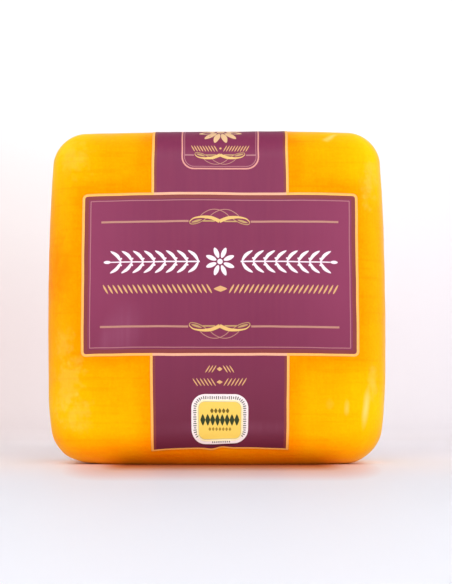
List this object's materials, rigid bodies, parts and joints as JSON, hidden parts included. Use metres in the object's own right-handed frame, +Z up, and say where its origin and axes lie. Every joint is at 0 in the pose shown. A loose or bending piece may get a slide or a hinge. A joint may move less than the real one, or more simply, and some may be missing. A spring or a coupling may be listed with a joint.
{
  "type": "whole pressed square cheese",
  "caption": "Whole square pressed cheese with a yellow oiled rind, standing on one side, with a cross-shaped paper label over its face and top edge and a small paper seal.",
  "frame": {"origin": "middle of the bottom of the bounding box, on the surface that the cheese stands on", "axes": "+Z up, the labelled face looks along -Y, X runs across the face"},
  "size_m": [0.19, 0.086, 0.1889],
  "materials": {
    "cheese": "oiled and dyed cheese rind, satin",
    "label": "printed coated label paper",
    "seal": "white sticker paper with a yellow field"
  },
  "bodies": {
    "root": {"cheese": "cheese", "label": "label", "seal": "seal"}
  },
  "joints": []
}
